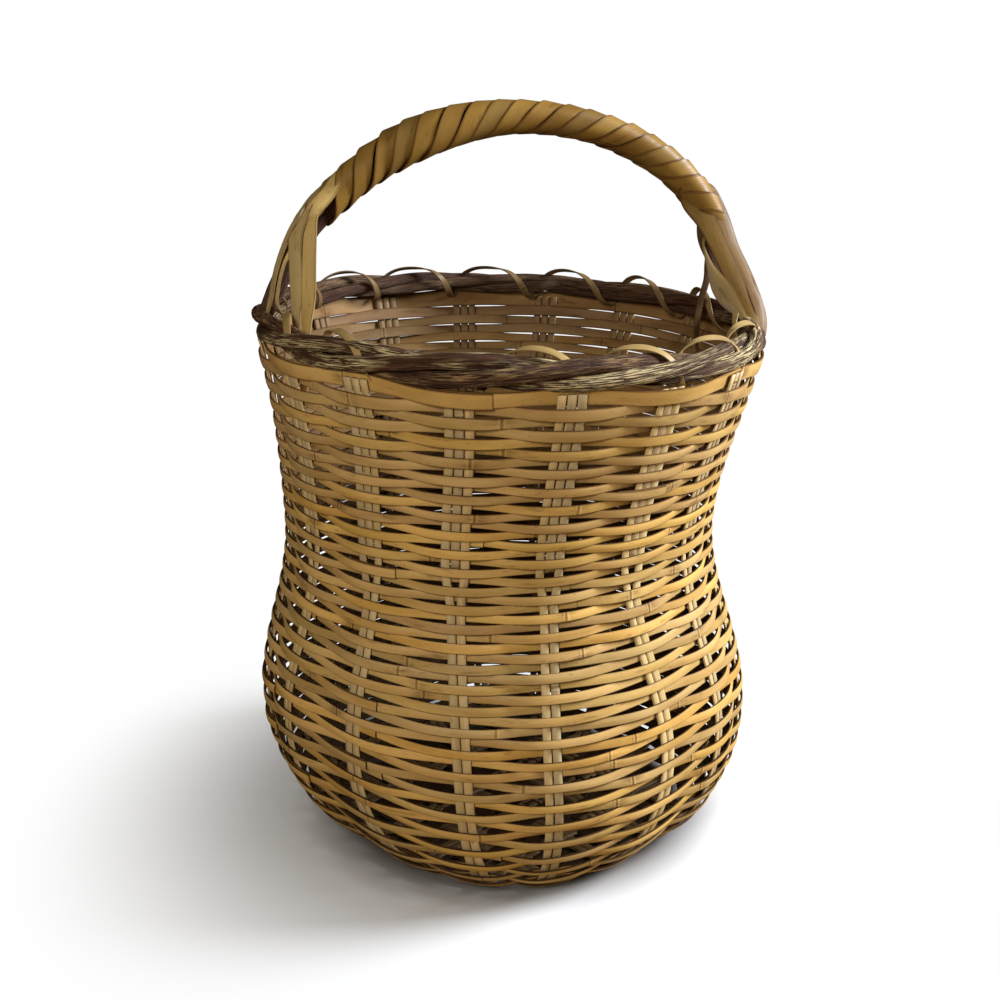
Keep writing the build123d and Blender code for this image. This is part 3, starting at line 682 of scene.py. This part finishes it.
def bark_group():
    """Rough bark: long fibres, and pale flecks where it is worn, which fade towards the back as painted
    shade.
    """
    group, given, out = new_group("bark", [
        ("Chart", "Vector", None), ("Tone", "Float", 0.5),
        ("Depth", "Float", 0.0),
        ("Bark", "Color", (0.06, 0.03, 0.03, 1)), ("Fleck", "Color", (0.4, 0.3, 0.16, 1)),
        ("Fibre", "Color", (0.110, 0.050, 0.025, 1)), ("Worn", "Float", 0.5)],
        [("Color", "Color"), ("Roughness", "Float"), ("Height", "Float")])
    part = add_node(group, "SeparateXYZ", {0: given["Chart"]}).outputs
    seed = times(group, given["Tone"], 31.0)
    along = plus(group, part[0], seed)
    fibre = streaks(group, along, part[1], seed, 0.022, 0.040, 4.0)
    patch = streaks(group, along, part[1], plus(group, seed, 3.0), 0.050, 0.40, 3.0)
    fleck = streaks(group, along, part[1], plus(group, seed, 6.0), 0.010, 0.024, 4.0)
    # Painted shade: the worn flecks thin out towards the back of the basket.
    worn = times(group, given["Worn"], fade(group, given["Depth"], 0.06, -0.06, 0.15, 1.0))
    level = times(group, fade(group, patch, 0.36, 0.60), worn)
    bare = times(group, fade(group, fleck, 0.47, 0.55), level)
    colour = colour_over(group, fade(group, fibre, 0.42, 0.60), given["Bark"], given["Fibre"])
    colour = colour_over(group, bare, colour, given["Fleck"])
    group.links.new(colour, out["Color"])
    group.links.new(fade(group, fibre, 0.3, 0.7, 0.48, 0.80), out["Roughness"])
    group.links.new(plus(group, fibre, times(group, bare, 0.2)), out["Height"])
    return group


BARK = bark_group()


def bark_finish(name, bark, fleck, worn):
    """A finish of bark, worn to flecks in front, which fade out behind as painted shade."""
    finish = skin_finish(name, BARK, {"Bark": (*bark, 1), "Fleck": (*fleck, 1), "Worn": worn},
                         relief=0.0022, strength=1.0, shine=0.2)
    depth = finish.node_tree.nodes["skin"].inputs["Depth"]
    finish.node_tree.links.new(place_along(finish, "Y"), depth)
    return finish


def lumpy(seed, lumps):
    """A hand-cut stem's uneven thickness, round it and along it."""
    pick = Random(seed)
    waves = [(pick.randint(4, 40), pick.randint(0, 3), pick.uniform(0, 2 * pi), pick.uniform(0.4, 1.0))
             for _ in range(7)]
    return lambda s, turn: 1 + lumps * sum(w * sin(n * 2 * pi * s + m * turn + p) for n, m, p, w in waves)


dark_vine = bark_finish("dark_vine", (0.036, 0.012, 0.009), (0.55, 0.34, 0.15), 0.8)
worn_vine = bark_finish("worn_vine", (0.052, 0.022, 0.010), (0.92, 0.72, 0.38), 1.0)
vines = ((97, 0, dark_vine), (-83, 120, worn_vine), (163, 240, worn_vine))     # starts, phases of twist
for n, (first, phase, finish) in enumerate(vines):
    thickness = lumpy(20 + n, 0.035)

    def on_rope(s, t):
        angle = first + ROPE_SWEEP * s
        twist = radians(ROPE_TWISTS * angle + phase)
        sway = 0.5 * sin(radians(angle * 3 + 77 * n)) + 0.4 * sin(radians(angle * 7 + 140 * n))
        proud = max(0.0, CUT_RUN - s) / CUT_RUN
        slim = 1 - SLIM_BEHIND * (0.5 - 0.5 * cos(radians(angle)))
        r = ROPE_R + ROPE_HALF_DEPTH * cos(twist) * (1 - proud) * slim + CUT_OUT * proud
        z = ROPE_Z + ROPE_HALF_HEIGHT * sin(twist) * (1 - proud) * slim + CUT_UP * proud + sway * slim
        starts = max(0.0, START_TAPER - s) / START_TAPER
        ends = max(0.0, s - (1 - END_TAPER)) / END_TAPER
        turn = pi * t
        girth = slim * thickness(s, turn) * (1 - 0.45 * starts - 0.4 * ends)
        return polar(angle, r - VINE_HALF_DEPTH * girth * cos(turn), z - VINE_HALF_HEIGHT * girth * sin(turn))
    bm = bmesh.new()
    lay_rod(bm, on_rope, steps=420, sides=14, length=2 * pi * ROPE_R, tone=0.13 + 0.31 * n)
    place_piece(f"rope_vine_{n + 1}", bm, [finish], f"rim_vine_{n + 1}")


# ---- Lashing ----
# One narrow strip of cane that binds the rope to the mouth, a turn to each pair of stakes. It comes up
# inside the rim, springs over the rope in a loose arch, and dives between the vines. It is pale in
# front, and darkened with painted shade on the far half of the rim.

LASH_HALF_W, LASH_T, LASH_CROWN = 2.1, 0.8, 0.15
LASH_START, LASH_TURN = 4.0, 360 / GROUPS       # degrees past a pair of stakes, and from turn to turn
LASH_LEAN = 1.1                         # how far the strip's face leans out of the rim at its top
ARCH_FROM, ARCH_LEAST = 5.0, 8.6        # places above the first are an arch's, which may sink to the second
LASH_SHARES = [0.00, 0.05, 0.11, 0.26, 0.48, 0.70, 0.86, 0.93, 0.98]       # of a turn
LASH_INWARDS = [0.5, 6.5, 9.6, 8.4, 5.0, 1.0, -3.0, -2.4, -0.6]            # of the rope's middle
LASH_RISES = [-8.8, -6.5, 1.0, 9.0, 12.6, 10.6, 3.4, -6.0, -8.8]           # over the rope's middle


def smoothed(stations, fine):
    """Stations of points and lines, drawn into a smooth curve near them in finer steps."""
    made = []
    last = len(stations) - 1
    before = tuple(q * 2 - r for q, r in zip(stations[0], stations[1]))
    after = tuple(q * 2 - p for p, q in zip(stations[-2], stations[-1]))
    for i in range(last):
        a = stations[i - 1] if i else before
        d = stations[i + 2] if i + 1 < last else after
        for f in range(fine + (i + 1 == last)):
            t = f / fine
            made.append(tuple(p * ((1 - t) ** 3 / 6) + q * ((3 * t ** 3 - 6 * t * t + 4) / 6)
                              + r * ((-3 * t ** 3 + 3 * t * t + 3 * t + 1) / 6) + w * (t ** 3 / 6)
                              for p, q, r, w in zip(a, stations[i], stations[i + 1], d)))
    return made


path = []
for k in range(GROUPS - 1):
    start = stake_angle(k, MOUTH_Z) + LASH_START
    arch = chance.uniform(0.2, 1.0)
    for share, inward, rise in zip(LASH_SHARES, LASH_INWARDS, LASH_RISES):
        if rise > ARCH_FROM:
            rise = ARCH_LEAST + (rise - ARCH_LEAST) * arch
        path.append((start + share * LASH_TURN, ROPE_R - inward, ROPE_Z + rise))
points = [polar(*p) for p in path]
stations = []
for i, (angle, r, z) in enumerate(path):
    ahead = (points[min(i + 1, len(points) - 1)] - points[max(i - 1, 0)]).normalized()
    out = (points[i] - polar(angle, ROPE_R + 1.0, ROPE_Z)).normalized()
    out += spoke(angle) * LASH_LEAN * sin(pi * LASH_SHARES[i % len(LASH_SHARES)]) ** 2
    across = ahead.cross(out).normalized()
    stations.append((points[i], across, across.cross(ahead).normalized()))
stations = smoothed(stations, 5)
read = through(stations)


def on_lashing(s, t):
    middle, across, out = read(s)
    return middle + across * (t * LASH_HALF_W) + out * (LASH_CROWN * (1 - t * t))


lash_finish = cane_finish("lashing_cane", (0.47, 0.33, 0.15), (0.33, 0.21, 0.085), stained=0.4, gloss=0.42)
# Painted shade: the strip turns browner over the far half of the rim.
paint_shade_by(lash_finish, place_along(lash_finish, "Y"), -0.02, 0.07, 0.75, (0.105, 0.055, 0.025))
bm = bmesh.new()
lay_grid(bm, on_lashing, steps=len(stations) - 1, ribs=2, length=run_length(stations), tone=0.4)
place_piece("lashing_strip", bm, [lash_finish, lash_finish], "rim_lashing", thick=LASH_T)


# ---- Handle core ----
# One bent vine with its bark on, which makes the hoop. Its ends stand on the rope, and it shows dark
# where the wrapping leaves it bare near them.

HOOP_TURN = 15.0                        # degrees from the X axis to the plane of the hoop
HOOP_SHIFT, HOOP_HALF, HOOP_FOOT_Z, HOOP_RISE = 3.0, 132.0, 316.5, 93.5
CORE_R, CORE_PAST, CORE_TAPER = 6.6, 9.0, 0.35      # it runs on past the hoop's ends, and tapers there
HOOP_PLANE = tangent(HOOP_TURN)
HOOP_BACK = -spoke(HOOP_TURN)
# The places that the hoop bends through, as shares of its half span and of its rise.
HOOP_BENDS = [(-1.0, 0.02), (-0.88, 0.34), (-0.70, 0.615), (-0.48, 0.83), (-0.23, 0.957), (0.03, 1.0),
              (0.295, 0.957), (0.545, 0.834), (0.765, 0.626), (0.928, 0.326), (1.0, -0.02)]


def rounded(line, share):
    """A point of the smooth curve through points a like distance apart."""
    last = len(line) - 1
    at = min(max(share, 0.0), 1.0) * last
    i = min(int(at), last - 1)
    t = at - i
    b, c = line[i], line[i + 1]
    a = line[i - 1] if i > 0 else b * 2 - c
    d = line[i + 2] if i < last - 1 else c * 2 - b
    return b + (c - a) * (t / 2) + (a * 2 - b * 5 + c * 4 - d) * (t * t / 2) \
        + (b * 3 - a - c * 3 + d) * (t ** 3 / 2)


HOOP_POINTS = [HOOP_PLANE * (HOOP_SHIFT + HOOP_HALF * along)
               + Vector((MIDDLE_X, 0, HOOP_FOOT_Z + HOOP_RISE * up)) for along, up in HOOP_BENDS]


def hoop_point(share):
    """The hoop's middle line, from its -X end to its +X end."""
    return rounded(HOOP_POINTS, share)


def hoop_frame(share):
    """A point of the middle line, the way along it and the way out of its curve."""
    ahead = hoop_point(min(share + 0.004, 1.0)) - hoop_point(max(share - 0.004, 0.0))
    return hoop_point(share), ahead.normalized(), ahead.cross(HOOP_BACK).normalized()


core_girth = lumpy(61, 0.03)


def on_core(s, t):
    middle, along, out = hoop_frame(s)
    past = (max(0.0, s - 0.97) - max(0.0, 0.03 - s)) / 0.03
    middle += along * (CORE_PAST * past)
    turn = pi * t
    tapers = max(0.0, abs(2 * s - 1) - 0.8) / 0.2
    r = CORE_R * core_girth(s, turn) * (1 - CORE_TAPER * tapers)
    return middle + HOOP_BACK * (r * cos(turn)) + out * (r * sin(turn))


core_finish = bark_finish("handle_core_vine", (0.055, 0.026, 0.020), (0.24, 0.15, 0.08), 0.4)
bm = bmesh.new()
lay_rod(bm, on_core, steps=96, sides=14, length=330, tone=0.7)
place_piece("handle_vine", bm, [core_finish], "handle_core")


# ---- Handle wrapping ----
# Four broad strips of smooth cane wound side by side round the hoop, each lapping the next a little,
# so that their edges show as fine slanting seams, darkened with painted shade. They stand out more on the
# shoulder towards -X.

WRAP_STRIPS, WRAP_TURNS, WRAP_START, WRAP_END, WRAP_T = 4, 5.2, 0.165, 0.91, 0.9
WRAP_OUT, WRAP_LAP = 9.1, 1.01          # from the hoop's middle to the strips' outside, and how they lap
WRAP_TILT, WRAP_SINK = 0.5, 2.0         # a strip's lapping edge stands out, and its ends sink into the core
SHOULDER, SLENDER = 2.3, 0.6            # the wrapping stands out so far at one place, and draws in beyond it

# Painted shade darkens the strips' edges along their seams.
wrap_finish = cane_finish("handle_cane", (0.31, 0.172, 0.046), (0.20, 0.103, 0.026), stained=0.6, gloss=0.42,
                          joint=0.31, edges=0.75)


def peak(share, middle, run):
    """1 at the middle, and less the further a share is from it."""
    return exp(-((share - middle) / run) ** 2)


bm = bmesh.new()
covered = WRAP_END - WRAP_START
for n in range(WRAP_STRIPS):
    early = chance.uniform(-0.012, 0.012)

    def round_hoop(s, t):
        share = WRAP_START + early * (1 - s) + covered * s
        middle, along, out = hoop_frame(share)
        speed = (hoop_point(share + 0.01) - hoop_point(share - 0.01)).length / 0.02
        half = speed * covered / WRAP_TURNS / WRAP_STRIPS / 2 * WRAP_LAP
        turn = 2 * pi * (n / WRAP_STRIPS - s * WRAP_TURNS)
        end = max(0.0, abs(2 * s - 1) - 0.96) / 0.04
        stout = SHOULDER * peak(share, 0.35, 0.09) - SLENDER * peak(share, 0.60, 0.08)
        lift = WRAP_OUT + stout + WRAP_TILT * t + 0.15 * sin(5 * turn + n) - WRAP_SINK * end
        away = HOOP_BACK * cos(turn) + out * sin(turn)
        return middle + away * lift + along * (half * -t)
    lay_grid(bm, round_hoop, steps=190, ribs=4, length=380, tone=chance.random())
bmesh.ops.recalc_face_normals(bm, faces=bm.faces)
place_piece("handle_wrapping", bm, [wrap_finish], "handle_wrap", thick=WRAP_T, edge=0.12)


# ---- Handle legs ----
# The hoop's ends are tied down by flat strips that come out of its wrapping and splay to the rim: two
# broad and two narrow ones at the -X end, and at the +X end four that fold over the rope and a thin one
# inside it. Those at the +X end are painted dark, as the shade that they stand in.

LEG_T, LEG_CROWN = 1.1, 0.05            # a strip's middle stands out by this share of its width
MOUTH_IN = 126.0                        # clear inside the rope
TUCK_Z, TUCK_IN = MOUTH_Z - 22, 4.5     # where a tucked end stops, and how far inside the wall's middle
# Painted shade darkens the strips' edges.
leg_finish = cane_finish("handle_leg_cane", (0.60, 0.43, 0.18), (0.47, 0.315, 0.115), stained=0.3, gloss=0.40,
                         joint=0.4, edges=0.6)


def on_hoop(share, front, outer, off):
    """A place on the hoop, this far off its wrapping, on the side that front and outer say.

    Front is towards the front, and outer is out of the hoop's curve.
    """
    middle, along, out = hoop_frame(share)
    away = (out * outer - HOOP_BACK * front).normalized()
    return middle + away * (WRAP_OUT + off), away


def at_rim(angle, r, z):
    """A place by the rim, where a strip faces straight out."""
    return polar(angle, r, z), spoke(angle)


def tucked(angle):
    """Down inside the rope, then out to lie against the wall below it."""
    return [at_rim(angle, MOUTH_IN, ROPE_Z + 5), at_rim(angle, MOUTH_IN, MOUTH_Z + 1),
            at_rim(angle, wall_radius(0, TUCK_Z) - TUCK_IN, TUCK_Z)]


def leg_strip(bm, stations, width, shape=lambda s: 1.0):
    """A strip along the stations, each a point and the way that the strip's face looks there."""
    fine = smoothed(stations, 8)
    framed = []
    for i, (middle, out) in enumerate(fine):
        ahead = (fine[min(i + 1, len(fine) - 1)][0] - fine[max(i - 1, 0)][0]).normalized()
        across = out.cross(ahead).normalized()
        framed.append((middle, across, ahead.cross(across)))
    read = through(framed)

    def on_leg(s, t):
        middle, across, out = read(s)
        half = width / 2 * shape(s)
        return middle + across * (t * half) + out * (LEG_CROWN * width * (1 - t * t))
    lay_grid(bm, on_leg, steps=len(framed) - 1, ribs=4, length=run_length(framed), tone=chance.random())


def place_leg(name, node, finish, *strips):
    """A piece of strips, each with its stations and its width, and a shape where it isn't straight."""
    bm = bmesh.new()
    for strip in strips:
        leg_strip(bm, *strip)
    place_piece(name, bm, [finish], node, thick=LEG_T)


def free(look, *places):
    """Stations between the hoop and the rim, each place an angle, a radius and a height.

    The strip faces the way of the angle look, and a little up.
    """
    return [(polar(*place), (spoke(look) + Vector((0, 0, 0.15))).normalized()) for place in places]


place_leg("leg_left_front", "handle_leg_left_front", leg_finish,
          ([on_hoop(0.255, -0.9, 0.6, -1.6), on_hoop(0.235, -0.2, 1.0, -0.3),
            on_hoop(0.21, 0.35, 1.0, 0.4), on_hoop(0.185, 0.9, 0.5, 0.6),
            *free(-20, (-68.2, 111.5, 361.3), (-67.2, 113.0, 356.0), (-64.9, 115.0, 346.7),
                  (-61.9, 118.2, 332.3), (-59.0, 121.0, 318.0)), *tucked(-56.8)], 8.6),
          ([on_hoop(0.215, -0.9, 0.6, -0.6), on_hoop(0.19, -0.3, 1.0, 0.3), on_hoop(0.165, 0.25, 1.0, 0.8),
            *free(-30, (-68.8, 115.0, 360.0), (-68.1, 120.0, 352.0), (-66.7, 121.8, 343.3),
                  (-64.9, 122.8, 332.5), (-63.4, 124.0, 320.0)), *tucked(-62.6)], 8.8))

place_leg("leg_left_back", "handle_leg_left_back", leg_finish,
          ([on_hoop(0.19, -0.8, 0.6, -0.5), on_hoop(0.16, -0.1, 1.0, 0.2),
            *free(-60, (-68.4, 117.5, 359.7), (-69.4, 122.5, 351.5), (-70.7, 128.0, 338.0),
                  (-71.6, 131.7, 325.8), (-72.4, 133.2, 314.5), (-73.6, 135.5, 307.5),
                  (-74.5, 137.0, 301.0))], 4.6),
          ([on_hoop(0.12, 0.9, 0.4, -1.2),
            *free(-40, (-70.5, 124.0, 338.0), (-71.0, 127.5, 330.3), (-71.9, 130.2, 317.0),
                  (-72.3, 131.0, 310.0)), *tucked(-74)], 2.4))

# Painted shade: the +X end's strips are coloured dark for the shade that they stand in, and their edges
# darker still.
shaded_split_finish = cane_finish("split_cane", (0.21, 0.118, 0.034), (0.135, 0.070, 0.019), stained=0.6, gloss=0.46,
                           joint=0.4, edges=0.9)
shaded_leaf_finish = cane_finish("leaf_cane", (0.37, 0.232, 0.080), (0.26, 0.150, 0.045), stained=0.5,
                          joint=0.4, edges=0.6)
shaded_leg_finish = cane_finish("shaded_leg_cane", (0.115, 0.060, 0.024), (0.070, 0.034, 0.013), stained=0.6, gloss=0.5,
                         edges=0.6)
place_leg("leg_right_outer", "handle_leg_right_outer", shaded_split_finish,
          ([on_hoop(0.80, -0.6, 1.0, -1.6), on_hoop(0.83, 0.2, 1.0, 0.2),
            *free(30, (103.4, 116.8, 373.3), (101.8, 126.0, 355.4), (99.0, 128.0, 342.7),
                  (95.8, 134.8, 329.3), (93.3, 139.2, 317.8), (90.8, 143.5, 305.3),
                  (89, 142.0, 297.0))], 9.6, lambda s: 1.05 - 0.35 * s * s),
          ([on_hoop(0.80, 0.9, 0.6, -1.4),
            *free(15, (102.4, 102.5, 367.7), (101.3, 112.3, 359.8), (98.5, 118.6, 346.6),
                  (95.2, 125.1, 330.9), (92.5, 131.4, 316.8), (90.6, 137.6, 305.9),
                  (87, 139.0, 299.0))], 12.5, lambda s: 1.0 - 0.5 * s * s))

place_leg("leg_right_leaf", "handle_leg_right_outer", shaded_leaf_finish,
          ([on_hoop(0.90, 0.9, -0.5, -1.4),
            *free(5, (99.8, 110.5, 347.5), (97.2, 111.6, 339.0), (94.6, 115.4, 328.1),
                  (91.9, 122.6, 316.2), (89.6, 132.0, 306.1), (86, 136.0, 300.0))], 11.5,
           lambda s: 0.16 + 0.86 * peak(s, 0.64, 0.18)))

place_leg("leg_right_middle", "handle_leg_right_outer", shaded_leg_finish,
          ([on_hoop(0.86, 0.6, -0.2, -1.6),
            *free(20, (101.2, 112.0, 348.1), (100.9, 116.0, 339.3), (100.8, 120.4, 331.4),
                  (100.4, 126.4, 323.0), (100.2, 132.0, 314.5), (100.0, 135.5, 306.0))], 9.0,
           lambda s: 1.0 - 0.4 * s))

place_leg("leg_right_inner", "handle_leg_right_inner", shaded_leg_finish,
          ([on_hoop(0.93, 0.0, -1.0, -1.6),
            *free(30, (109.0, 123.1, 326.9), (108.7, 123.2, 319.3), (109.1, 119.0, 307.5),
                  (109.0, 116.8, 288.2)), at_rim(108.5, 120, 274.5), at_rim(108.5, 124, 266)], 4.4))


# ---- Studio ----
# A pale floor that fades to white, is painted dark brown under the basket as its shadow, and throws a little
# warm light back. A broad soft lamp stands on the right like a window, and a weak one in front on the left.
# The camera looks down a little.

FLOOR_HALF, PAINTED_SHADOW_R, WHITE_R = 6.0, (0.09, 0.14), (0.10, 0.31)
BASKET_MIDDLE = (0, 0, 0.18)
PAPER, PAINTED_SHADOW, WARM_BOUNCE = (0.90, 0.90, 0.90, 1), (0.05, 0.035, 0.02, 1), (0.22, 0.155, 0.085, 1)
ROOM_LIGHT = (1.0, 0.78, 0.50, 1)
CAMERA_PLACE, CAMERA_DOWN, CAMERA_ROLL, CAMERA_LENS = (-0.0054, -0.7809, 0.4457), 17.91, 0.18, 50.4

floor_mesh = bpy.data.meshes.new("floor")
bm = bmesh.new()
bmesh.ops.create_grid(bm, x_segments=1, y_segments=1, size=FLOOR_HALF)
bm.to_mesh(floor_mesh)
bm.free()
stand_up("floor", floor_mesh)
paper = bpy.data.materials.new("paper")
paper.use_nodes = True
tree = paper.node_tree
tree.nodes.clear()
seen = add_node(tree, "LightPath").outputs["Is Camera Ray"]
spot = add_node(tree, "TexCoord").outputs["Object"]
far_off = add_node(tree, "VectorMath", {0: spot}, operation="LENGTH").outputs["Value"]
# Painted shadow: the floor is dark brown under the basket and fades to paper round its foot.
paper_with_painted_shadow = colour_over(tree, fade(tree, far_off, *PAINTED_SHADOW_R), PAINTED_SHADOW, PAPER)
matt = add_node(tree, "BsdfDiffuse", {"Color": colour_over(tree, seen, WARM_BOUNCE, paper_with_painted_shadow)}).outputs[0]
white = add_node(tree, "Emission", {"Color": (1, 1, 1, 1), "Strength": 1.0}).outputs[0]
share = times(tree, seen, fade(tree, far_off, *WHITE_R))
mixed = add_node(tree, "MixShader", {0: share, 1: matt, 2: white}).outputs[0]
add_node(tree, "OutputMaterial", {"Surface": mixed})
floor_mesh.materials.append(paper)

world = bpy.data.worlds.new("studio")
bpy.context.scene.world = world
world.use_nodes = True
tree = world.node_tree
tree.nodes.clear()
path_kind = add_node(tree, "LightPath").outputs
seen = sum_up(tree, "MAXIMUM", path_kind["Is Camera Ray"], path_kind["Is Transmission Ray"])
room = add_node(tree, "Background", {"Color": ROOM_LIGHT, "Strength": 0.022}).outputs[0]
white = add_node(tree, "Background", {"Color": (1, 1, 1, 1), "Strength": 1.0}).outputs[0]
mixed = add_node(tree, "MixShader", {0: seen, 1: room, 2: white}).outputs[0]
add_node(tree, "OutputWorld", {"Surface": mixed})


def hang_lamp(name, place, size, power, tint):
    """A round soft lamp that looks at the middle of the basket."""
    lamp = bpy.data.lights.new(name, "AREA")
    lamp.shape = "DISK"
    lamp.size = size
    lamp.energy = power
    lamp.color = tint
    stand = stand_up(name, lamp)
    stand.location = place
    stand.rotation_euler = (Vector(BASKET_MIDDLE) - Vector(place)).to_track_quat("-Z", "Y").to_euler()


hang_lamp("window_lamp", (1.75, 0.15, 1.05), size=0.8, power=84, tint=(0.88, 0.93, 1.0))
hang_lamp("front_lamp", (-0.45, -1.40, 0.95), size=0.5, power=12, tint=(1.0, 0.95, 0.86))

camera = bpy.data.cameras.new("camera")
camera.sensor_width = 36.0
camera.lens = CAMERA_LENS
stand = stand_up("camera", camera)
stand.location = CAMERA_PLACE
stand.rotation_euler = (radians(90 - CAMERA_DOWN), radians(CAMERA_ROLL), 0)
bpy.context.scene.camera = stand

bpy.context.scene.view_settings.view_transform = "Standard"
